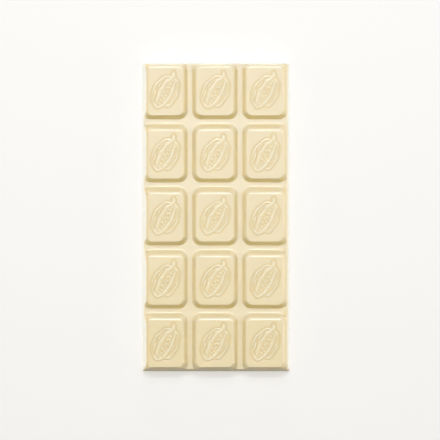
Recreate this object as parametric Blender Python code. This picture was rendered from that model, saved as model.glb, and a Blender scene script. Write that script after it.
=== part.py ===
"""A tablet of white chocolate, lying on its flat back with the moulded side up.

The moulded side is a level floor with rounded blocks standing on it in columns and rows.
Each block carries an opened cocoa pod in low relief, and the leaning wall of the mould trims
the blocks at the tablet's edge. The whole tablet is one solid, with its origin in the middle
of the back, X across the columns, Y along the rows and Z up.
"""

from math import cos, hypot, pi, radians, sin

import bmesh
import bpy
from mathutils import Vector
from mathutils.geometry import delaunay_2d_cdt

MM = 0.001

# The tablet, over its back.
WIDTH = 74.0 * MM
LENGTH = 154.6 * MM
HEIGHT = 8.0 * MM
CORNER_RADIUS = 1.2 * MM
WALL_LEAN = 2.1 * MM           # how far the wall leans in between the back and the top

# The blocks. The pattern sits a little off the tablet's middle, as it does in the mould.
COLUMNS = 3
ROWS = 5
PITCH_X = 25.0 * MM
PITCH_Y = 31.5 * MM
PATTERN_X = -0.75 * MM
PATTERN_Y = 0.7 * MM
GROOVE_FLOOR = 4.3 * MM        # height of the floor between the blocks

# A block's contours about its own centre: where its sides meet the floor, and its face.
# The side towards +Y is the gentlest one, and its corners are rounder at the foot.
FOOT_X = 0.1 * MM
FOOT_Y = 0.1 * MM
FOOT_WIDTH = 23.0 * MM
FOOT_LENGTH = 30.3 * MM
FOOT_RADIUS_HIGH = 4.2 * MM    # at the two corners towards +Y
FOOT_RADIUS_LOW = 3.4 * MM     # at the two corners towards -Y
FACE_X = 0.2 * MM
FACE_Y = -0.9 * MM
FACE_WIDTH = 17.6 * MM
FACE_LENGTH = 23.0 * MM
FACE_RADIUS_HIGH = 1.2 * MM
FACE_RADIUS_LOW = 2.2 * MM

# The run of a block's side, from the face (0) to the foot (1): rounded over its first part,
# straight, and rounded again into the floor.
FACE_ROUNDING = 0.28
FOOT_ROUNDING = 0.22
SIDE_STEPS = (0.0, 0.14, 0.28, 0.78, 1.0)
CORNER_STEPS = 4

# The cocoa pod, drawn about the block's centre, in millimetres.
POD_OUTLINE = (
    (-3.7, -10.0), (-5.2, -8.9), (-6.5, -6.6), (-7.2, -4.2), (-7.0, -1.4), (-6.0, 1.2),
    (-4.3, 3.5), (-1.9, 5.4), (0.6, 6.8), (3.2, 6.9), (3.2, 8.4), (4.4, 9.5), (5.8, 8.4),
    (5.9, 6.1), (7.3, 4.2), (7.8, 1.9), (7.5, -0.9), (6.8, -3.8), (5.1, -6.2), (3.4, -8.2),
    (1.8, -9.2), (0.1, -8.9), (-1.7, -9.4),
)
POD_OPENING = (
    (-3.6, -8.2), (-3.3, -5.8), (-2.3, -3.4), (-1.4, -1.3), (0.2, 1.2), (1.3, 3.1),
    (3.1, 4.6), (4.6, 5.4), (5.0, 3.2), (4.4, 0.7), (3.3, -1.9), (1.6, -4.6), (-0.6, -7.0),
)
BEANS = ((3.4, 3.0), (1.9, 0.5), (0.5, -1.7), (-0.7, -3.9), (-1.9, -6.1))
BEAN_LENGTH = 2.0 * MM
BEAN_WIDTH = 1.3 * MM
BEAN_TILT = radians(-30)
BEAN_SIDES = 6

# Heights of the relief above the block's face, and the widths of its slopes.
HUSK_RISE = 0.2 * MM
OUTLINE_DEPTH = 0.25 * MM
OUTLINE_HALF_WIDTH = 0.35 * MM
LIP_RISE = 0.4 * MM
LIP_WIDTH = 0.45 * MM
OPENING_DEPTH = 0.1 * MM
BEAN_RISE = 0.3 * MM

CHOCOLATE_COLOUR = (0.90, 0.78, 0.53, 1.0)


def side_height(run):
    """Height of a block's side at a share of its run, from the face (0) to the foot (1)."""
    steepest = 1.0 / (1.0 - 0.5 * (FACE_ROUNDING + FOOT_ROUNDING))
    if run < FACE_ROUNDING:
        drop = 0.5 * steepest * run ** 2 / FACE_ROUNDING
    elif run < 1.0 - FOOT_ROUNDING:
        drop = steepest * (run - 0.5 * FACE_ROUNDING)
    else:
        drop = 1.0 - 0.5 * steepest * (1.0 - run) ** 2 / FOOT_ROUNDING
    return HEIGHT - drop * (HEIGHT - GROOVE_FLOOR)


def between(start, end, share):
    return start + (end - start) * share


def rounded_rectangle(centre_x, centre_y, width, length, radius_high, radius_low):
    """Points around a rounded rectangle, counter-clockwise from its +X side."""
    points = []
    for corner, (side_x, side_y) in enumerate(((1, 1), (-1, 1), (-1, -1), (1, -1))):
        radius = radius_high if side_y > 0 else radius_low
        middle_x = centre_x + side_x * (width / 2 - radius)
        middle_y = centre_y + side_y * (length / 2 - radius)
        for step in range(CORNER_STEPS + 1):
            turn = (corner + step / CORNER_STEPS) * pi / 2
            points.append((middle_x + radius * cos(turn), middle_y + radius * sin(turn)))
    return points


def block_contour(run):
    """A level contour of one block's side, about the block's centre."""
    return rounded_rectangle(
        between(FACE_X, FOOT_X, run),
        between(FACE_Y, FOOT_Y, run),
        between(FACE_WIDTH, FOOT_WIDTH, run),
        between(FACE_LENGTH, FOOT_LENGTH, run),
        between(FACE_RADIUS_HIGH, FOOT_RADIUS_HIGH, run),
        between(FACE_RADIUS_LOW, FOOT_RADIUS_LOW, run),
    )


def wall_inset(height):
    return WALL_LEAN * height / HEIGHT


def trimmed_by_wall(x, y, height):
    """The point itself, or the nearest one inside the tablet's wall at that height."""
    half_width = WIDTH / 2 - wall_inset(height)
    half_length = LENGTH / 2 - wall_inset(height)
    x = min(max(x, -half_width), half_width)
    y = min(max(y, -half_length), half_length)
    middle_x = half_width - CORNER_RADIUS
    middle_y = half_length - CORNER_RADIUS
    over_x = abs(x) - middle_x
    over_y = abs(y) - middle_y
    reach = hypot(over_x, over_y)
    if over_x > 0 and over_y > 0 and reach > CORNER_RADIUS:
        x = (middle_x + over_x * CORNER_RADIUS / reach) * (1 if x > 0 else -1)
        y = (middle_y + over_y * CORNER_RADIUS / reach) * (1 if y > 0 else -1)
    return x, y


def down_the_wall(x, y):
    """Where the wall meets the back, below a point at its edge at the grooves' height."""
    drawn_out = wall_inset(GROOVE_FLOOR)
    straight_x = WIDTH / 2 - drawn_out - CORNER_RADIUS
    straight_y = LENGTH / 2 - drawn_out - CORNER_RADIUS
    away = Vector((
        max(abs(x) - straight_x, 0.0) * (1 if x > 0 else -1),
        max(abs(y) - straight_y, 0.0) * (1 if y > 0 else -1),
    ))
    away = away.normalized() * drawn_out
    return x + away.x, y + away.y, 0.0


def in_metres(points):
    return [(x * MM, y * MM) for x, y in points]


def grown(loop, distance):
    """A closed loop moved outwards by a distance, or inwards if that is negative."""
    signed_area = sum(a[0] * b[1] - b[0] * a[1] for a, b in zip(loop, loop[1:] + loop[:1]))
    turn = 1 if signed_area > 0 else -1
    moved = []
    for before, here, after in zip(loop[-1:] + loop[:-1], loop, loop[1:] + loop[:1]):
        along = Vector(after) - Vector(before)
        outward = Vector((along.y, -along.x)).normalized() * turn
        moved.append((here[0] + outward.x * distance, here[1] + outward.y * distance))
    return moved


def bean_contour(centre_x, centre_y):
    points = []
    for step in range(BEAN_SIDES):
        turn = 2 * pi * step / BEAN_SIDES
        along = BEAN_LENGTH / 2 * cos(turn)
        across = BEAN_WIDTH / 2 * sin(turn)
        points.append((
            centre_x + along * cos(BEAN_TILT) - across * sin(BEAN_TILT),
            centre_y + along * sin(BEAN_TILT) + across * cos(BEAN_TILT),
        ))
    return points


def pod_contours():
    """The pod as closed contours with their heights: outline, husk, lip, opening, beans."""
    outline = in_metres(POD_OUTLINE)
    opening = in_metres(POD_OPENING)
    contours = [
        (grown(outline, OUTLINE_HALF_WIDTH), HEIGHT),
        (outline, HEIGHT - OUTLINE_DEPTH),
        (grown(outline, -OUTLINE_HALF_WIDTH), HEIGHT + HUSK_RISE),
        (grown(opening, LIP_WIDTH), HEIGHT + LIP_RISE),
        (opening, HEIGHT - OPENING_DEPTH),
    ]
    for centre in in_metres(BEANS):
        contours.append((bean_contour(*centre), HEIGHT - OPENING_DEPTH))
        contours.append(([centre], HEIGHT + BEAN_RISE))
    return contours


def block_contours():
    return [(block_contour(run), side_height(run)) for run in SIDE_STEPS] + pod_contours()


def tablet_contours():
    """Every level contour of the moulded side, each as its points and its height."""
    wall_at_floor = rounded_rectangle(
        0.0, 0.0, WIDTH - 2 * wall_inset(GROOVE_FLOOR),
        LENGTH - 2 * wall_inset(GROOVE_FLOOR), CORNER_RADIUS, CORNER_RADIUS)
    contours = [([point], GROOVE_FLOOR) for point in wall_at_floor]
    one_block = block_contours()
    for column in range(COLUMNS):
        for row in range(ROWS):
            centre_x = PATTERN_X + (column - (COLUMNS - 1) / 2) * PITCH_X
            centre_y = PATTERN_Y + (row - (ROWS - 1) / 2) * PITCH_Y
            for loop, height in one_block:
                placed = [trimmed_by_wall(x + centre_x, y + centre_y, height) for x, y in loop]
                contours.append((placed, height))
    return contours


def triangulated(contours):
    """Triangles between level contours seen from above: vertices with heights, and faces."""
    points = []
    heights = []
    edges = []
    for loop, height in contours:
        first = len(points)
        points.extend(Vector(point) for point in loop)
        heights.extend([height] * len(loop))
        if len(loop) > 1:
            edges.extend((first + i, first + (i + 1) % len(loop)) for i in range(len(loop)))
    flat, _, faces, sources, _, _ = delaunay_2d_cdt(points, edges, [], 0, 1e-8)
    vertices = [(point.x, point.y, heights[source[0]]) for point, source in zip(flat, sources)]
    return vertices, faces


def tablet_mesh():
    vertices, faces = triangulated(tablet_contours())
    shape = bmesh.new()
    placed = [shape.verts.new(vertex) for vertex in vertices]
    for face in faces:
        shape.faces.new([placed[i] for i in face])

    # The wall leans out from the edge of the moulded side down to the back.
    rim = [edge for edge in shape.edges if edge.is_boundary]
    drawn = bmesh.ops.extrude_edge_only(shape, edges=rim)["geom"]
    back = [item for item in drawn if isinstance(item, bmesh.types.BMVert)]
    for vertex in back:
        vertex.co = down_the_wall(*vertex.co.xy)

    # The back is flat.
    corners = [Vector(vertex.co.xy) for vertex in back]
    flat, _, faces, sources, _, _ = delaunay_2d_cdt(corners, [], [], 0, 1e-8)
    for face in faces:
        shape.faces.new([back[sources[i][0]] for i in reversed(face)])

    bmesh.ops.recalc_face_normals(shape, faces=shape.faces)
    mesh = bpy.data.meshes.new("chocolate_bar")
    shape.to_mesh(mesh)
    shape.free()
    mesh.shade_smooth()
    mesh.set_sharp_from_angle(angle=radians(35))
    return mesh


def chocolate_material():
    material = bpy.data.materials.new("white_chocolate")
    material.use_nodes = True
    shader = material.node_tree.nodes["Principled BSDF"]
    shader.inputs["Base Color"].default_value = CHOCOLATE_COLOUR
    shader.inputs["Roughness"].default_value = 0.45
    shader.inputs["Metallic"].default_value = 0.0
    return material


def main():
    for item in list(bpy.data.objects):
        bpy.data.objects.remove(item)
    tablet = bpy.data.objects.new("chocolate_bar", tablet_mesh())
    tablet.data.materials.append(chocolate_material())
    bpy.context.scene.collection.objects.link(tablet)


main()
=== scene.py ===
"""A tablet of white chocolate, seen from straight above on a pale studio floor.

The tablet is one moulded mesh: blocks with bevelled sides, rounded grooves, a leaning wall, an
opened cocoa pod in relief on each block, and a back that was poured and shaken level. Shape
sizes are in millimetres about the tablet's own origin, and become metres in the mesh.
"""

from math import atan, cos, pi, radians, sin, tan

import bpy
import numpy as np
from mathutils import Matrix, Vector
from mathutils.geometry import delaunay_2d_cdt


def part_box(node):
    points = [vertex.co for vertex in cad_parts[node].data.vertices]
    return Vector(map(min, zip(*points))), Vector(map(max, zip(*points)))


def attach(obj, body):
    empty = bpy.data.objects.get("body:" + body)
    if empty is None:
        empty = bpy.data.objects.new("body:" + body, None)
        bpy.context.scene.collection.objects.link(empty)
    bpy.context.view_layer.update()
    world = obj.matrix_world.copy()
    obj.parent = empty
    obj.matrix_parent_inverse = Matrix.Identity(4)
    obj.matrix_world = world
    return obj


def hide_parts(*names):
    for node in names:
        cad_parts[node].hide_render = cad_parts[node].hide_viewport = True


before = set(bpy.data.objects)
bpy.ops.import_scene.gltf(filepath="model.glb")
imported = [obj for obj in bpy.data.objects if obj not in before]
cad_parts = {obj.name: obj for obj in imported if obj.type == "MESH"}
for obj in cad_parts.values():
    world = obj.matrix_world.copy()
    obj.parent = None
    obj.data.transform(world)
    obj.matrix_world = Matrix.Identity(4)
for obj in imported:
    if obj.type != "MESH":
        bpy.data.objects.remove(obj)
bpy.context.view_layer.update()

MM = 0.001

# The tablet, as the frame gives it. The frame's highest point is the lip of the pods.
LIP_RISE = 0.4
solid_low, solid_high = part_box("chocolate_bar")
WIDTH = (solid_high.x - solid_low.x) / MM
LENGTH = (solid_high.y - solid_low.y) / MM
HEIGHT = (solid_high.z - solid_low.z) / MM - LIP_RISE
MIDDLE_X = (solid_high.x + solid_low.x) / 2 / MM
MIDDLE_Y = (solid_high.y + solid_low.y) / 2 / MM

# The mould's wall leans in from the back to the top, least at the +Y end.
LEAN_LEFT = 2.3
LEAN_RIGHT = 2.4
LEAN_HIGH = 1.3
LEAN_LOW = 2.3
WALL_CORNER = 1.2              # radius at the back
WALL_TOP_CORNER = 0.5          # and at the top
WALL_ROUNDING = 0.5            # height over which the wall turns into the blocks

# The back is level along its edge, then hollowed and waved, as the chocolate set in the mould.
BACK_EDGE = 0.3                # radius of the edge between wall and back
BACK_WAVE = 0.05               # how far the back may stand up from the floor
BACK_RIM = 12.0                # width over which the back comes away from level
BACK_HOLLOW_SHARE = 0.5        # share of it that is an even hollow
BACK_WAVE_SHARE = 0.3          # and share that waves
BROAD_WAVE = (9.0, 13.0, 0.7)  # reach across and along, and where it starts
FINE_WAVE = (5.0, 7.0, 1.3)
FINE_WAVE_SHARE = 0.6

# The blocks. The pattern sits a little off the tablet's middle, as it does in the mould.
COLUMNS = 3
ROWS = 5
PITCH_X = 25.0
PITCH_Y = 31.5
PATTERN_X = -0.75
PATTERN_Y = 0.7
GROOVE_FLOOR = 4.3
# Shares of a side's run that turn from face to side and from side to groove, at places along
# the block: crisp at the end towards -Y, softest along the middle, broad at the end towards +Y.
ROUNDING_PLACES = (-14.0, -10.5, 8.0, 12.0)
FACE_ROUNDINGS = (0.09, 0.60, 0.60, 0.45)
FOOT_ROUNDINGS = (0.09, 0.20, 0.20, 0.30)
# A thin painted shade inside the line where the wall cuts the outer blocks, a tint alone.
SHADE_RELIEF = 0.09            # the depth of hollow whose tint it takes
SHADE_INSET = 0.2
SHADE_WIDTH = 0.6
SHADE_REACH = 14.0             # either way along Y from the block's centre

# The cocoa pod, drawn about the block's centre.
POD_OUTLINE = (
    (-3.7, -10.0), (-4.9, -9.3), (-5.8, -8.0), (-6.8, -6.1), (-7.1, -4.4), (-6.9, -2.3),
    (-6.2, 0.3), (-5.1, 2.5), (-3.2, 4.4), (-1.3, 6.0), (0.4, 6.9), (2.2, 7.0), (3.3, 6.8),
    (3.4, 8.2), (3.7, 9.1), (4.5, 9.4), (5.3, 9.0), (5.8, 7.8), (5.8, 6.2), (7.0, 4.8),
    (7.7, 3.0), (7.7, 0.9), (7.3, -1.7), (6.7, -3.8), (5.1, -6.2), (3.4, -8.4), (2.1, -9.1),
    (0.8, -9.1), (-0.2, -8.8), (-1.3, -9.2), (-2.5, -9.8),
)
POD_OPENING = (
    (-3.9, -8.4), (-3.2, -6.2), (-2.6, -4.1), (-1.6, -2.1), (-0.6, -0.3), (0.2, 1.4),
    (1.5, 3.1), (3.2, 4.6), (4.6, 5.5), (4.8, 3.2), (4.2, 0.9), (2.8, -2.3), (1.2, -4.6),
    (-0.6, -6.7), (-2.1, -8.0),
)
# Ridges of the husk, as strength and points: the stalk and the two lips first, then the ribs.
RIDGES = (
    (1.0, ((4.4, 8.6), (4.6, 7.7), (4.3, 6.9), (3.7, 6.1), (3.0, 5.2), (1.8, 4.5),
           (0.6, 3.6), (-0.3, 2.4), (-1.0, 1.1), (-2.0, -0.3))),
    (0.8, ((4.8, 8.5), (5.0, 7.6), (4.8, 6.6), (4.3, 6.1))),
    (0.7, ((-2.0, -0.3), (-2.7, -1.7), (-3.0, -3.0), (-3.8, -5.2), (-4.1, -6.7))),
    (0.8, ((5.1, 3.6), (4.9, 2.0), (4.4, 0.5), (3.4, -2.1), (1.7, -4.6), (0.6, -6.1),
           (-0.7, -7.5), (-2.1, -8.7), (-3.4, -9.2), (-4.4, -8.6), (-5.0, -7.4), (-5.6, -6.5))),
    (0.9, ((3.4, 6.0), (2.2, 6.3), (1.0, 6.4), (-0.4, 5.7), (-2.2, 4.2), (-3.9, 2.8),
           (-4.9, 1.2), (-5.4, -0.2), (-6.3, -2.6))),
    (0.6, ((-0.8, 4.6), (-1.8, 3.2), (-2.8, 1.5))),
    (0.6, ((-4.1, 0.1), (-4.7, -1.4), (-5.1, -2.9), (-5.7, -4.3))),
    (0.7, ((6.4, -1.5), (6.3, -2.7), (5.4, -4.2), (4.2, -5.9), (3.0, -7.6), (1.7, -8.4),
           (0.6, -8.4))),
    (0.9, ((4.8, 5.3), (5.6, 4.8), (6.5, 3.7))),
    (0.5, ((4.9, -2.2), (4.0, -4.0), (2.9, -5.9))),
)
# Valleys between the ribs, as strength and points.
VALLEYS = (
    (0.9, ((2.5, 5.4), (1.2, 5.9), (-0.1, 5.3), (-1.9, 3.6), (-3.4, 2.1), (-4.3, 0.5),
           (-5.4, -1.0), (-5.7, -2.6), (-6.3, -4.3))),
    (1.0, ((-0.2, 4.4), (-0.7, 2.9), (-1.7, 2.3), (-2.0, 1.1), (-3.6, 0.3), (-3.8, -1.5),
           (-4.3, -3.5), (-5.2, -5.2), (-4.6, -7.0))),
    (0.8, ((6.6, 3.2), (5.8, 2.4), (5.4, 1.0), (5.0, -0.7), (4.3, -2.5), (3.2, -4.6),
           (1.9, -6.8), (0.8, -8.1))),
    (0.8, ((5.7, -2.0), (5.1, -3.3), (3.8, -5.4), (2.4, -7.2))),
    (0.8, ((6.7, 2.0), (6.6, 0.6), (6.4, -0.8))),
    (0.7, ((4.9, 5.4), (4.5, 5.7))),
    (0.6, ((3.2, 3.6), (4.2, 2.9))),
    (0.6, ((-0.4, -2.5), (0.2, -2.6))),
    (0.5, ((1.2, 0.0), (2.3, -0.5))),
    (0.5, ((-2.2, -4.8), (-1.2, -4.9))),
)
RIDGE_RISE = 0.08
VALLEY_DEPTH = 0.085
OUTLINE_DEPTH = 0.09
STROKE_WIDTH = 0.38
STROKE_TAPER = 0.9             # length over which a stroke fades towards its ends
STROKE_END = 0.25              # and its strength there
MEETING_POWER = 4              # the higher, the more the stronger of two strokes alone counts
HUSK_SINK = 0.015
HUSK_SLOPE = 0.6
OPENING_SINK = 0.055
OPENING_SLOPE = 0.6
# Beans in the opening: middle, length, width and tilt in degrees.
BEANS = (
    (3.8, 3.7, 1.1, 0.9, 60), (3.1, 2.6, 1.7, 0.8, -40), (1.4, 0.8, 1.2, 0.9, 60),
    (2.5, 0.9, 1.6, 0.9, -50), (0.2, -1.6, 1.7, 0.9, 55), (1.6, -1.2, 1.2, 0.7, -40),
    (3.2, -0.6, 1.1, 0.6, 70), (-1.1, -3.5, 1.4, 1.1, -30), (0.5, -3.2, 1.3, 0.8, 45),
    (-0.2, -4.7, 1.1, 0.8, 20), (-1.5, -5.8, 1.7, 0.7, -35), (-2.4, -7.1, 1.3, 0.8, 60),
)
BEAN_RISE = 0.12
BUMP_FALL = 1.2                # how fast a bean or knot falls away past its edge
# Knots along the lips and ribs, the same way.
KNOTS = (
    (1.6, 4.3, 2.2, 0.9, 30), (-1.8, 0.4, 1.6, 0.9, 50), (-3.2, -2.6, 1.3, 1.1, 60),
    (4.2, 0.5, 1.5, 0.9, 60), (3.3, -2.0, 1.5, 1.0, 50), (1.9, -4.4, 1.6, 1.3, 40),
    (0.3, -6.6, 1.7, 0.9, 45), (-2.2, -8.7, 1.6, 0.9, 25), (-2.7, 1.6, 0.9, 0.7, 60),
    (-4.6, -1.5, 1.1, 0.7, 80), (5.0, -2.2, 0.9, 0.6, 80), (1.8, -8.2, 1.3, 0.8, 10),
    (-4.6, -8.0, 1.2, 0.8, -60), (-3.9, 2.7, 1.6, 0.8, 50),
)
KNOT_RISE = 0.05

# How finely the mesh follows the shape.
CORNER_STEPS = 7
LOOP_STEP = 2.6
FACE_LOOPS = 10
FOOT_LOOPS = 6
LOOP_CROWDING = 1.3            # how much closer the loops lie towards face and groove
WALL_LOOPS = 3                 # either side of the wall's crossing with a level
EDGE_STEPS = 4                 # round the edge between wall and back
POD_MARGIN = 1.2               # how far past its outline a pod's own points go
POD_STEP = 0.8
POD_ROW_SHARE = 0.87           # rows this share of a step apart, for even triangles
POD_TOLERANCE = 0.008          # how far an edge may miss the relief before it is split
POD_SHORTEST = 0.22            # and how short it may be to be split
BACK_STEP = 2.6
CURVE_STEPS = 5                # pieces of a drawn curve between two of its points
HALVINGS = 24                  # of the range in which a contour's run is searched for
SLOPE_REACH = 0.01             # how far to either side of a point its slope is taken
RIM_WIDTH = 0.02               # points this near the rim take their normal from inside it
RIM_INSIDE = 0.999

# Tints of the chocolate: its own mottle, then painted light and shade.
DARKER_MOTTLE = (0.855, 0.732, 0.472)
LIGHTER_MOTTLE = (0.865, 0.746, 0.488)
# painted shade: the groove floors a touch dimmer and less yellow than the faces
GROOVE_PAINTED_SHADE = (0.84, 0.755, 0.56)
# painted shade: steep sides that don't face +Y deeper and yellower
SIDE_PAINTED_SHADE = (0.89, 0.75, 0.42)
# painted highlight: gentle roundings that face +Y paler
ROUNDING_PAINTED_HIGHLIGHT = (0.90, 0.83, 0.64)
# painted shade: hollows of the relief deeper and yellower
HOLLOW_PAINTED_SHADE = (0.81, 0.655, 0.35)
# painted highlight: crests of the relief paler
CREST_PAINTED_HIGHLIGHT = (0.96, 0.88, 0.67)
# painted shade: whatever faces -Y deeper and yellower
LOW_SIDE_PAINTED_SHADE = (0.87, 0.72, 0.30)
# painted light: the steep outer wall near white
WALL_PAINTED_LIGHT = (0.97, 0.94, 0.81)
# painted shade: the outer wall towards -Y darker and browner
LOW_WALL_PAINTED_SHADE = (0.72, 0.60, 0.36)

# Where each tint starts and where it is full. The first six go by how far the surface faces
# upwards or towards +Y, where 1 is straight there.
STEEP_UP = (0.92, 0.70)
OFF_HIGH_END_Y = (0.45, 0.15)
LOW_END_Y = (-0.45, -0.70)
WALL_UP = (0.41, 0.33)
ROUNDING_Y = (0.08, 0.25)
ROUNDING_UP = (0.82, 0.94)
GROOVE_LEVELS = (5.2 * MM, 4.3 * MM)
HOLLOW_RELIEF = (0.0, -0.09)
CREST_RELIEF = (-0.01, 0.05)
MOTTLE_RANGE = (0.35, 0.65)
HANDLED_RANGE = (0.3, 0.7)
ROUGHNESS_RANGE = (0.38, 0.47)
COAT_RANGE = (1.0, 0.1)        # full, and what is left of it on the wall towards -Y

# The studio, in metres.
WHITE = (1.0, 1.0, 1.0)
WARM = (1.0, 0.79, 0.33)
FLOOR_REACH = 3.0
FLOOR_LEVEL = -0.05 * MM       # just below the tablet, so that they don't share a plane
AMBIENT = 0.01
# Soft lights: name, angle from straight above and angle round from +Y to +X, both in degrees,
# distance, size, strength and colour.
SOFTBOXES = (
    ("strip_above", 32, 0, 1.2, (0.40, 0.07), 0.235, WHITE),
    ("strip_left", 32, -36, 1.2, (0.40, 0.07), 0.07, WHITE),
    ("strip_right", 32, 36, 1.2, (0.40, 0.07), 0.07, WHITE),
    ("high_panel", 44, 0, 1.2, (0.3, 0.2), 0.10, WHITE),
    ("far_panel", 77, 0, 1.2, (0.8, 0.3), 0.12, WHITE),
    ("overhead", 8, 0, 0.6, (0.28, 0.24), 0.12, WHITE),
    ("near_overhead", 12, 180, 0.6, (0.28, 0.20), 0.095, WARM),
    ("left_high", 45, 270, 1.6, (0.9, 0.9), 0.17, WHITE),
    ("right_high", 45, 90, 1.6, (0.9, 0.9), 0.17, WHITE),
    ("left_panel", 77, 270, 1.2, (0.8, 0.3), 0.14, WHITE),
    ("right_panel", 77, 90, 1.2, (0.8, 0.3), 0.15, WHITE),
    ("left_low", 88, 270, 1.2, (0.5, 0.05), 0.15, WHITE),
    ("right_low", 88, 90, 1.2, (0.5, 0.05), 0.15, WHITE),
)

# The camera, with lens and sensor in millimetres.
LENS = 300.0
SENSOR_WIDTH = 36.0
VIEW_WIDTH = 220.0 * MM
VIEW_X = 2.0 * MM
VIEW_Y = -1.55 * MM
VIEW_LEVEL = 4.0 * MM          # the height at which the view is that wide
VIEW_REACH = 10.0


# ---- Outlines and the heights between them ------------------------------------------------

class Contours:
    """A rounded rectangle that changes evenly from an inner one to an outer one."""

    def __init__(self, middle_x, middle_y, width, length, radius_high, radius_low):
        self.pairs = (middle_x, middle_y, width, length, radius_high, radius_low)
        self.pieces_x = round(width[0] / LOOP_STEP)
        self.pieces_y = round(length[0] / LOOP_STEP)

    def at(self, run):
        """The contour's middle, sizes and radii at a run, 0 for the inner and 1 for the outer."""
        return [inner + (outer - inner) * run for inner, outer in self.pairs]

    def outside(self, run, x, y):
        """Distance outside the contour at a run, negative inside it."""
        middle_x, middle_y, width, length, radius_high, radius_low = self.at(run)
        radius = np.where(y > middle_y, radius_high, radius_low)
        over_x = np.abs(x - middle_x) - width / 2 + radius
        over_y = np.abs(y - middle_y) - length / 2 + radius
        corner = np.hypot(np.maximum(over_x, 0.0), np.maximum(over_y, 0.0))
        return corner + np.minimum(np.maximum(over_x, over_y), 0.0) - radius

    def run_at(self, x, y, lowest):
        """The run of the contour that passes through each point, 1 for any point beyond."""
        low = np.full(x.shape, lowest)
        high = np.ones(x.shape)
        for _ in range(HALVINGS):
            run = (low + high) / 2
            beyond = self.outside(run, x, y) > 0
            low = np.where(beyond, run, low)
            high = np.where(beyond, high, run)
        return (low + high) / 2

    def loop(self, run):
        """Points round one contour, the same number at every run."""
        middle_x, middle_y, width, length, radius_high, radius_low = self.at(run)
        corners = []
        for quarter, (side_x, side_y) in enumerate(((1, 1), (-1, 1), (-1, -1), (1, -1))):
            radius = radius_high if side_y > 0 else radius_low
            centre_x = middle_x + side_x * (width / 2 - radius)
            centre_y = middle_y + side_y * (length / 2 - radius)
            turns = (quarter + np.arange(CORNER_STEPS + 1) / CORNER_STEPS) * pi / 2
            corners.append(np.stack((centre_x + radius * np.cos(turns),
                                     centre_y + radius * np.sin(turns)), axis=1))
        loop = []
        for quarter, corner in enumerate(corners):
            after = corners[(quarter + 1) % 4]
            pieces = self.pieces_x if quarter % 2 == 0 else self.pieces_y
            shares = np.arange(1, pieces)[:, None] / pieces
            loop.extend((corner, corner[-1] + (after[0] - corner[-1]) * shares))
        return np.concatenate(loop)


BLOCK = Contours(
    middle_x=(0.2, 0.22), middle_y=(-1.15, 0.0), width=(17.4, 23.1), length=(23.5, 29.9),
    radius_high=(1.6, 5.2), radius_low=(2.8, 4.4))
WALL = Contours(
    middle_x=(MIDDLE_X + (LEAN_LEFT - LEAN_RIGHT) / 2, MIDDLE_X),
    middle_y=(MIDDLE_Y + (LEAN_LOW - LEAN_HIGH) / 2, MIDDLE_Y),
    width=(WIDTH - LEAN_LEFT - LEAN_RIGHT, WIDTH), length=(LENGTH - LEAN_LOW - LEAN_HIGH, LENGTH),
    radius_high=(WALL_TOP_CORNER, WALL_CORNER), radius_low=(WALL_TOP_CORNER, WALL_CORNER))
BACK = Contours(
    middle_x=(MIDDLE_X, MIDDLE_X), middle_y=(MIDDLE_Y, MIDDLE_Y),
    width=(WIDTH - 2 * BACK_EDGE, WIDTH), length=(LENGTH - 2 * BACK_EDGE, LENGTH),
    radius_high=(WALL_CORNER - BACK_EDGE, WALL_CORNER),
    radius_low=(WALL_CORNER - BACK_EDGE, WALL_CORNER))
BACK.pieces_x = WALL.pieces_x
BACK.pieces_y = WALL.pieces_y


def eased(share):
    """Turns a share into one that starts and ends gently, held between 0 and 1."""
    share = np.clip(share, 0.0, 1.0)
    return share * share * (3.0 - 2.0 * share)


def block_height(run, y):
    """Height of a block's side at its run, 0 on the face and 1 on the groove's floor."""
    face = np.interp(y, ROUNDING_PLACES, FACE_ROUNDINGS)
    foot = np.interp(y, ROUNDING_PLACES, FOOT_ROUNDINGS)
    steepest = 1.0 / (1.0 - 0.5 * (face + foot))
    near_face = 0.5 * steepest * run ** 2 / face
    straight = steepest * (run - 0.5 * face)
    near_foot = 1.0 - 0.5 * steepest * (1.0 - run) ** 2 / foot
    drop = np.where(run < face, near_face, np.where(run < 1.0 - foot, straight, near_foot))
    return HEIGHT - drop * (HEIGHT - GROOVE_FLOOR)


def wall_height(x, y):
    """Height of the leaning wall, carried on upwards inside its top."""
    run = WALL.run_at(x, y, lowest=-1.0)
    return BACK_EDGE + (HEIGHT - BACK_EDGE) * (1.0 - run)


def wall_run(height):
    """The run at which the wall is at a height."""
    return 1.0 - (height - BACK_EDGE) / (HEIGHT - BACK_EDGE)


def soft_lower(first, second, rounding):
    """The lower of two heights, with the crease where they cross rounded off."""
    overlap = np.maximum(rounding - np.abs(first - second), 0.0) / rounding
    return np.minimum(first, second) - overlap ** 2 * rounding / 4


# ---- The pod's relief ----------------------------------------------------------------------

def smooth_curve(points, closed):
    """A curve through the points, as the points of a fine polyline."""
    corners = [np.array(point) for point in points]
    if closed:
        corners = corners[-1:] + corners + corners[:2]
    else:
        corners = [2 * corners[0] - corners[1]] + corners + [2 * corners[-1] - corners[-2]]
    line = []
    for before, start, end, after in zip(corners, corners[1:], corners[2:], corners[3:]):
        for step in range(CURVE_STEPS):
            share = step / CURVE_STEPS
            line.append(0.5 * (
                2 * start + (end - before) * share
                + (2 * before - 5 * start + 4 * end - after) * share ** 2
                + (3 * start - before - 3 * end + after) * share ** 3))
    line.append(corners[-2])
    return np.array(line)


def distance_to(line, x, y):
    """Distance from each point to a polyline, and to the nearer end along it."""
    nearest = np.full(x.shape, 1e9)
    place = np.zeros(x.shape)
    travelled = 0.0
    for (ax, ay), (bx, by) in zip(line, line[1:]):
        length = np.hypot(bx - ax, by - ay)
        along = np.clip(((x - ax) * (bx - ax) + (y - ay) * (by - ay)) / length ** 2, 0.0, 1.0)
        away = np.hypot(x - ax - along * (bx - ax), y - ay - along * (by - ay))
        closer = away < nearest
        nearest[closer] = away[closer]
        place[closer] = travelled + along[closer] * length
        travelled += length
    return nearest, np.minimum(place, travelled - place)


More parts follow.
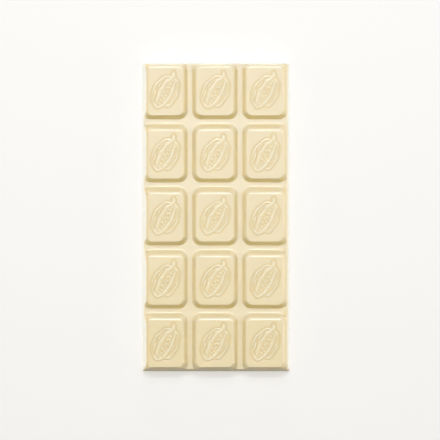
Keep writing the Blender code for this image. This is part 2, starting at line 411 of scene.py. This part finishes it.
def depth_inside(line, x, y):
    """Distance to a closed line for points inside it, and 0 outside."""
    inside = np.zeros(x.shape, bool)
    for (ax, ay), (bx, by) in zip(line, line[1:]):
        if by != ay:
            crosses = (ay > y) != (by > y)
            inside ^= crosses & (x < ax + (bx - ax) * (y - ay) / (by - ay))
    away, _ = distance_to(line, x, y)
    return np.where(inside, away, 0.0)


OUTLINE_CURVE = smooth_curve(POD_OUTLINE, closed=True)
OPENING_CURVE = smooth_curve(POD_OPENING, closed=True)
RIDGE_CURVES = [(height, smooth_curve(points, closed=False)) for height, points in RIDGES]
VALLEY_CURVES = [(depth, smooth_curve(points, closed=False)) for depth, points in VALLEYS]


def strokes(curves, x, y):
    """Soft-edged lines that fade at their ends, and keep the stronger where they meet."""
    total = np.zeros(x.shape)
    for strength, line in curves:
        away, to_end = distance_to(line, x, y)
        fade = eased(STROKE_END + (1.0 - STROKE_END) * to_end / STROKE_TAPER)
        total += (strength * fade * np.exp(-(away / STROKE_WIDTH) ** 2)) ** MEETING_POWER
    return total ** (1 / MEETING_POWER)


def bumps(places, x, y):
    """Oval bumps, keeping the higher where they meet."""
    total = np.zeros(x.shape)
    for middle_x, middle_y, length, width, tilt in places:
        along = (x - middle_x) * cos(radians(tilt)) + (y - middle_y) * sin(radians(tilt))
        across = (y - middle_y) * cos(radians(tilt)) - (x - middle_x) * sin(radians(tilt))
        out = np.hypot(2 * along / length, 2 * across / width)
        total = np.maximum(total, np.exp(-BUMP_FALL * out ** 3))
    return total


def pod_relief(x, y):
    """Height of the pod above the block's face."""
    away, _ = distance_to(OUTLINE_CURVE, x, y)
    husk = HUSK_SINK * eased(depth_inside(OUTLINE_CURVE, x, y) / HUSK_SLOPE)
    opened = OPENING_SINK * eased(depth_inside(OPENING_CURVE, x, y) / OPENING_SLOPE)
    outline = OUTLINE_DEPTH * np.exp(-(away / STROKE_WIDTH) ** 2)
    valleys = VALLEY_DEPTH * strokes(VALLEY_CURVES, x, y)
    sunk = (outline ** MEETING_POWER + valleys ** MEETING_POWER) ** (1 / MEETING_POWER)
    raised = BEAN_RISE * bumps(BEANS, x, y) + KNOT_RISE * bumps(KNOTS, x, y)
    return RIDGE_RISE * strokes(RIDGE_CURVES, x, y) + raised - sunk - opened - husk


# ---- The whole surface ---------------------------------------------------------------------

def block_centres():
    """The centre of each block, column by column."""
    for column in range(COLUMNS):
        for row in range(ROWS):
            yield np.array((PATTERN_X + (column - COLUMNS // 2) * PITCH_X,
                            PATTERN_Y + (row - ROWS // 2) * PITCH_Y))


def in_block(x, y):
    """A point's place about the centre of the block it is nearest to."""
    column = np.clip(np.round((x - PATTERN_X) / PITCH_X), -(COLUMNS // 2), COLUMNS // 2)
    row = np.clip(np.round((y - PATTERN_Y) / PITCH_Y), -(ROWS // 2), ROWS // 2)
    return x - PATTERN_X - column * PITCH_X, y - PATTERN_Y - row * PITCH_Y


def moulded_height(x, y):
    """Height of the moulded side: blocks and grooves with their pods, trimmed by the wall."""
    block_x, block_y = in_block(x, y)
    run = BLOCK.run_at(block_x, block_y, lowest=0.0)
    height = block_height(run, block_y)
    on_face = run < 0.001
    height[on_face] += pod_relief(block_x[on_face], block_y[on_face])
    return soft_lower(height, wall_height(x, y), WALL_ROUNDING)


def back_height(x, y):
    """Height of the back over the floor."""
    inner = eased(-BACK.outside(0.0, x, y) / BACK_RIM)
    across, along, start = BROAD_WAVE
    broad = np.sin(x / across + start) * np.sin(y / along)
    across, along, start = FINE_WAVE
    fine = np.sin(x / across - y / along + start)
    waves = broad + FINE_WAVE_SHARE * fine
    return BACK_WAVE * inner * (BACK_HOLLOW_SHARE + BACK_WAVE_SHARE * waves)


def relief_at(x, y):
    """Relief that places painted shade and highlight: the pod's own, and a painted shade along
    the blocks' cut edges.
    """
    block_x, block_y = in_block(x, y)
    inside = WIDTH / 2 - LEAN_RIGHT - np.abs(x - MIDDLE_X)
    shade = -SHADE_RELIEF * np.exp(-((inside - SHADE_INSET) / SHADE_WIDTH) ** 2)
    relief = np.where(np.abs(block_y) < SHADE_REACH, shade, 0.0)
    on_face = BLOCK.outside(0.0, block_x, block_y) < 0
    relief[on_face] += pod_relief(block_x[on_face], block_y[on_face])
    return relief


def normals_of(surface, x, y, up):
    """Normals from a height function's own slope, upwards or downwards."""
    reach = SLOPE_REACH
    slope_x = (surface(x + reach, y) - surface(x - reach, y)) / (2 * reach)
    slope_y = (surface(x, y + reach) - surface(x, y - reach)) / (2 * reach)
    normals = np.stack((-slope_x, -slope_y, np.ones(x.shape)), axis=1) * up
    return normals / np.linalg.norm(normals, axis=1)[:, None]


class Plan:
    """Points and lines seen from above, waiting to be joined into triangles."""

    def __init__(self):
        self.points = []
        self.lines = []

    def add(self, points, closed=False, kept=None):
        """Adds points, and where closed the lines between those kept."""
        kept = np.ones(len(points), bool) if kept is None else kept
        numbers = len(self.points) + np.cumsum(kept) - 1
        self.points.extend(tuple(point) for point in points[kept])
        for here in range(len(points) if closed else 0):
            after = (here + 1) % len(points)
            if kept[here] and kept[after]:
                self.lines.append((int(numbers[here]), int(numbers[after])))

    def triangles(self):
        """Corners, triangles, and the corner that each point added became."""
        points = [Vector(point) for point in self.points]
        flat, _, faces, sources, _, _ = delaunay_2d_cdt(points, self.lines, [], 0, 1e-4)
        became = {source: corner for corner, group in enumerate(sources) for source in group}
        return np.array([tuple(point) for point in flat]), np.array(faces), became


def pod_points():
    """Points over one pod, packed closer wherever its relief bends."""
    low = np.min(POD_OUTLINE, axis=0) - POD_MARGIN
    high = np.max(POD_OUTLINE, axis=0) + POD_MARGIN
    across, along = np.meshgrid(np.arange(low[0], high[0], POD_STEP),
                                np.arange(low[1], high[1], POD_STEP * POD_ROW_SHARE))
    across[1::2] += POD_STEP / 2
    points = np.stack((across.ravel(), along.ravel()), axis=1)
    while True:
        plan = Plan()
        plan.add(points)
        points, faces, _ = plan.triangles()
        edges = np.concatenate((faces[:, (0, 1)], faces[:, (1, 2)], faces[:, (2, 0)]))
        edges = np.unique(np.sort(edges, axis=1), axis=0)
        starts = points[edges[:, 0]]
        ends = points[edges[:, 1]]
        heights = pod_relief(points[:, 0], points[:, 1])
        middles = (starts + ends) / 2
        error = np.abs(pod_relief(middles[:, 0], middles[:, 1]) - heights[edges].mean(axis=1))
        length = np.hypot(*(ends - starts).T)
        split = (error > POD_TOLERANCE) & (length > POD_SHORTEST)
        if not split.any():
            return points
        points = np.concatenate((points, middles[split]))


def block_runs():
    """Runs of the loops round a block, closest where the side bends."""
    face = max(FACE_ROUNDINGS) * (np.arange(FACE_LOOPS + 1) / FACE_LOOPS) ** LOOP_CROWDING
    foot = max(FOOT_ROUNDINGS) * (np.arange(FOOT_LOOPS, -1, -1) / FOOT_LOOPS) ** LOOP_CROWDING
    return np.concatenate((face, 1.0 - foot))


def moulded_plan():
    """The moulded side seen from above: the rim, loops along the wall, loops round the blocks."""
    plan = Plan()
    plan.add(WALL.loop(1.0), closed=True)
    for level in (GROOVE_FLOOR, HEIGHT):
        for step in range(-WALL_LOOPS, WALL_LOOPS + 1):
            height = level + WALL_ROUNDING * step / WALL_LOOPS
            plan.add(WALL.loop(wall_run(height)), closed=True)
    pod = pod_points()
    for centre in block_centres():
        plan.add(pod + centre)
        for run in block_runs():
            height = block_height(run, BLOCK.loop(run)[:, 1])
            loop = BLOCK.loop(run) + centre
            clear = wall_height(loop[:, 0], loop[:, 1]) > height - WALL_ROUNDING / 2
            plan.add(loop, closed=True, kept=clear)
    return plan


def tablet_mesh():
    """The moulded side, the rounded edge below its wall, and the back, as one closed mesh."""
    corners, top_faces, became = moulded_plan().triangles()
    x, y = corners.T
    vertices = [np.stack((x, y, moulded_height(x, y)), axis=1)]
    within = np.where(WALL.outside(1.0, x, y) > -RIM_WIDTH, RIM_INSIDE, 1.0)
    normals = [normals_of(moulded_height, x * within, y * within, 1.0)]
    faces = top_faces.tolist()
    ring = [became[number] for number in range(len(WALL.loop(1.0)))]

    count = len(corners)
    outwards = WALL.loop(1.0) - BACK.loop(0.0)
    outwards = outwards / np.linalg.norm(outwards, axis=1)[:, None]
    for step in range(1, EDGE_STEPS + 1):
        turn = pi / 2 * step / EDGE_STEPS
        loop = BACK.loop(cos(turn))
        below = list(range(count, count + len(loop)))
        height = np.full((len(loop), 1), BACK_EDGE * (1.0 - sin(turn)))
        vertices.append(np.hstack((loop, height)))
        normals.append(np.hstack((outwards * cos(turn), np.full((len(loop), 1), -sin(turn)))))
        for here in range(len(loop)):
            before = here - 1
            faces.append((ring[before], below[before], below[here]))
            faces.append((ring[before], below[here], ring[here]))
        ring = below
        count += len(loop)

    plan = Plan()
    rim = BACK.loop(0.0)
    plan.add(rim, closed=True)
    across, along = np.meshgrid(np.arange(-WIDTH / 2, WIDTH / 2, BACK_STEP) + MIDDLE_X,
                                np.arange(-LENGTH / 2, LENGTH / 2, BACK_STEP) + MIDDLE_Y)
    inner = np.stack((across.ravel(), along.ravel()), axis=1)
    plan.add(inner, kept=BACK.outside(0.0, inner[:, 0], inner[:, 1]) < -BACK_STEP / 2)
    corners, back_faces, became = plan.triangles()
    numbers = np.arange(count, count + len(corners))
    for number in range(len(rim)):
        numbers[became[number]] = ring[number]
    x, y = corners.T
    vertices.append(np.stack((x, y, back_height(x, y)), axis=1))
    normals.append(normals_of(back_height, x, y, -1.0))
    faces.extend(numbers[back_faces[:, ::-1]].tolist())
    return mesh_of_used(np.concatenate(vertices), np.concatenate(normals), np.array(faces))


def mesh_of_used(vertices, normals, faces):
    """A smooth mesh of the corners that faces use, with their normals and the relief that places
    painted shade and highlight.
    """
    used, flat = np.unique(faces, return_inverse=True)
    mesh = bpy.data.meshes.new("white_chocolate_tablet")
    mesh.from_pydata((vertices[used] * MM).tolist(), [], flat.reshape(faces.shape).tolist())
    mesh.shade_smooth()
    mesh.normals_split_custom_set_from_vertices(normals[used].tolist())
    x, y, z = vertices[used].T
    relief = mesh.attributes.new("relief", "FLOAT", "POINT")
    relief.data.foreach_set("value", np.where(z > HEIGHT / 2, relief_at(x, y), 0.0))
    return mesh


# ---- Materials -----------------------------------------------------------------------------

def add_noise(nodes, links, place, scale, detail, roughness=0.5):
    """A noise value fixed to the tablet, about as many waves to the metre as its scale."""
    noise = nodes.new("ShaderNodeTexNoise")
    noise.inputs["Scale"].default_value = scale
    noise.inputs["Detail"].default_value = detail
    noise.inputs["Roughness"].default_value = roughness
    links.new(place.outputs["Object"], noise.inputs["Vector"])
    return noise.outputs["Fac"]


def add_range(nodes, links, value, span, result=(0.0, 1.0), eases=False):
    """Carries a value from one range to another and holds it at both ends."""
    change = nodes.new("ShaderNodeMapRange")
    change.interpolation_type = "SMOOTHSTEP" if eases else "LINEAR"
    change.inputs["From Min"].default_value = span[0]
    change.inputs["From Max"].default_value = span[1]
    change.inputs["To Min"].default_value = result[0]
    change.inputs["To Max"].default_value = result[1]
    links.new(value, change.inputs["Value"])
    return change.outputs["Result"]


def add_mix(nodes, links, share, first, second):
    """Mixes two colours, each given as a colour or as the output of a node."""
    mix = nodes.new("ShaderNodeMix")
    mix.data_type = "RGBA"
    links.new(share, mix.inputs["Factor"])
    for socket, colour in (("A", first), ("B", second)):
        if isinstance(colour, tuple):
            mix.inputs[socket].default_value = colour + (1.0,)
        else:
            links.new(colour, mix.inputs[socket])
    return mix.outputs["Result"]


def add_product(nodes, links, first, second):
    """One value times another, so that both have to be full."""
    product = nodes.new("ShaderNodeMath")
    product.operation = "MULTIPLY"
    links.new(first, product.inputs[0])
    links.new(second, product.inputs[1])
    return product.outputs["Value"]


def white_chocolate():
    """Smooth, faintly mottled and waxy; painted shade yellower in hollows, painted light paler on
    the outer wall.
    """
    material = bpy.data.materials.new("moulded_white_chocolate")
    material.use_nodes = True
    nodes = material.node_tree.nodes
    links = material.node_tree.links
    shader = nodes["Principled BSDF"]
    shader.subsurface_method = "BURLEY"
    shader.inputs["Subsurface Weight"].default_value = 0.4
    shader.inputs["Subsurface Radius"].default_value = (1.0, 0.6, 0.25)
    shader.inputs["Subsurface Scale"].default_value = 0.001
    shader.inputs["Coat Roughness"].default_value = 0.2
    shader.inputs["Coat IOR"].default_value = 1.6

    place = nodes.new("ShaderNodeTexCoord")
    part = nodes.new("ShaderNodeSeparateXYZ")
    links.new(place.outputs["Normal"], part.inputs["Vector"])
    # painted shade on steep sides that don't face +Y
    steep = add_range(nodes, links, part.outputs["Z"], STEEP_UP, eases=True)
    not_high = add_range(nodes, links, part.outputs["Y"], OFF_HIGH_END_Y, eases=True)
    side = add_product(nodes, links, steep, not_high)
    # painted shade on all that faces -Y
    low_end = add_range(nodes, links, part.outputs["Y"], LOW_END_Y, eases=True)
    # painted light on the steep outer wall
    wall = add_range(nodes, links, part.outputs["Z"], WALL_UP, eases=True)
    # painted shade on the wall towards -Y
    low_wall = add_product(nodes, links, wall, low_end)
    # painted highlight on roundings tilted a little towards +Y
    tilted = add_range(nodes, links, part.outputs["Y"], ROUNDING_Y, eases=True)
    nearly_level = add_range(nodes, links, part.outputs["Z"], ROUNDING_UP, eases=True)
    rounded = add_product(nodes, links, tilted, nearly_level)
    spot = nodes.new("ShaderNodeSeparateXYZ")
    links.new(place.outputs["Object"], spot.inputs["Vector"])
    # painted shade on the groove floors, by height
    groove = add_range(nodes, links, spot.outputs["Z"], GROOVE_LEVELS, eases=True)
    # painted shade in the relief's hollows
    relief = nodes.new("ShaderNodeAttribute")
    relief.attribute_name = "relief"
    hollow = add_range(nodes, links, relief.outputs["Fac"], HOLLOW_RELIEF)
    # painted highlight on the relief's crests
    crest = add_range(nodes, links, relief.outputs["Fac"], CREST_RELIEF)
    cloudy = add_noise(nodes, links, place, scale=160.0, detail=3.0)
    mottled = add_range(nodes, links, cloudy, MOTTLE_RANGE)

    colour = add_mix(nodes, links, mottled, DARKER_MOTTLE, LIGHTER_MOTTLE)
    # Over the chocolate's own mottle go the painted shade and painted light tints.
    for share, tint in ((groove, GROOVE_PAINTED_SHADE), (side, SIDE_PAINTED_SHADE), (rounded, ROUNDING_PAINTED_HIGHLIGHT),
                        (hollow, HOLLOW_PAINTED_SHADE), (crest, CREST_PAINTED_HIGHLIGHT), (low_end, LOW_SIDE_PAINTED_SHADE),
                        (wall, WALL_PAINTED_LIGHT), (low_wall, LOW_WALL_PAINTED_SHADE)):
        colour = add_mix(nodes, links, share, colour, tint)
    links.new(colour, shader.inputs["Base Color"])
    # The wall towards -Y also loses most of its coat, which darkens its painted shade further.
    links.new(add_range(nodes, links, low_wall, (0.0, 1.0), COAT_RANGE),
              shader.inputs["Coat Weight"])

    handled = add_noise(nodes, links, place, scale=90.0, detail=4.0, roughness=0.6)
    links.new(add_range(nodes, links, handled, HANDLED_RANGE, ROUGHNESS_RANGE),
              shader.inputs["Roughness"])
    bump = nodes.new("ShaderNodeBump")
    bump.inputs["Strength"].default_value = 0.25
    bump.inputs["Distance"].default_value = 0.00004
    links.new(add_noise(nodes, links, place, scale=700.0, detail=4.0, roughness=0.55),
              bump.inputs["Height"])
    links.new(bump.outputs["Normal"], shader.inputs["Normal"])
    return material


def studio_floor():
    """Plain pale grey with a light of its own, so that it stays even and nearly white."""
    material = bpy.data.materials.new("studio_floor")
    material.use_nodes = True
    shader = material.node_tree.nodes["Principled BSDF"]
    shader.inputs["Base Color"].default_value = (0.6, 0.6, 0.6, 1.0)
    shader.inputs["Roughness"].default_value = 0.6
    shader.inputs["Emission Color"].default_value = WHITE + (1.0,)
    shader.inputs["Emission Strength"].default_value = 0.39
    return material


# ---- The studio ----------------------------------------------------------------------------

def softbox(name, zenith, side, distance, size, strength, colour):
    """A rectangular soft light aimed at the tablet, as bright on it at any distance."""
    zenith = radians(zenith)
    side = radians(side)
    place = Vector((sin(zenith) * sin(side), sin(zenith) * cos(side), cos(zenith))) * distance
    lamp = bpy.data.lights.new(name, "AREA")
    lamp.shape = "RECTANGLE"
    lamp.size, lamp.size_y = size
    lamp.energy = strength * (pi * distance) ** 2
    lamp.color = colour
    light = bpy.data.objects.new(name, lamp)
    light.location = place
    light.rotation_euler = (-place).to_track_quat("-Z", "Y").to_euler()
    light.visible_camera = False
    bpy.context.scene.collection.objects.link(light)


def build_studio():
    """The floor, the soft lights and a trace of light from all round."""
    mesh = bpy.data.meshes.new("floor")
    corners = [(x * FLOOR_REACH, y * FLOOR_REACH, FLOOR_LEVEL)
               for x, y in ((-1, -1), (1, -1), (1, 1), (-1, 1))]
    mesh.from_pydata(corners, [], [(0, 1, 2, 3)])
    floor = bpy.data.objects.new("floor", mesh)
    mesh.materials.append(studio_floor())
    bpy.context.scene.collection.objects.link(floor)

    for lamp in SOFTBOXES:
        softbox(*lamp)

    world = bpy.data.worlds.new("studio")
    world.use_nodes = True
    background = world.node_tree.nodes["Background"]
    background.inputs["Color"].default_value = WHITE + (1.0,)
    background.inputs["Strength"].default_value = AMBIENT
    bpy.context.scene.world = world
    bpy.context.scene.view_settings.view_transform = "Standard"


def build_camera():
    """Looks straight down at the tablet, which sits a little left of and above the middle."""
    data = bpy.data.cameras.new("camera")
    data.lens = LENS
    data.sensor_width = SENSOR_WIDTH
    data.clip_end = VIEW_REACH
    half_angle = atan(SENSOR_WIDTH / 2 / LENS)
    camera = bpy.data.objects.new("camera", data)
    camera.location = (VIEW_X, VIEW_Y, VIEW_WIDTH / 2 / tan(half_angle) + VIEW_LEVEL)
    bpy.context.scene.collection.objects.link(camera)
    bpy.context.scene.camera = camera


def main():
    """Builds the tablet in its place in the frame, then the studio and the camera."""
    tablet = bpy.data.objects.new("chocolate_tablet", tablet_mesh())
    tablet.data.materials.append(white_chocolate())
    bpy.context.scene.collection.objects.link(tablet)
    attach(tablet, "root")
    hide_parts("chocolate_bar")
    build_studio()
    build_camera()


main()
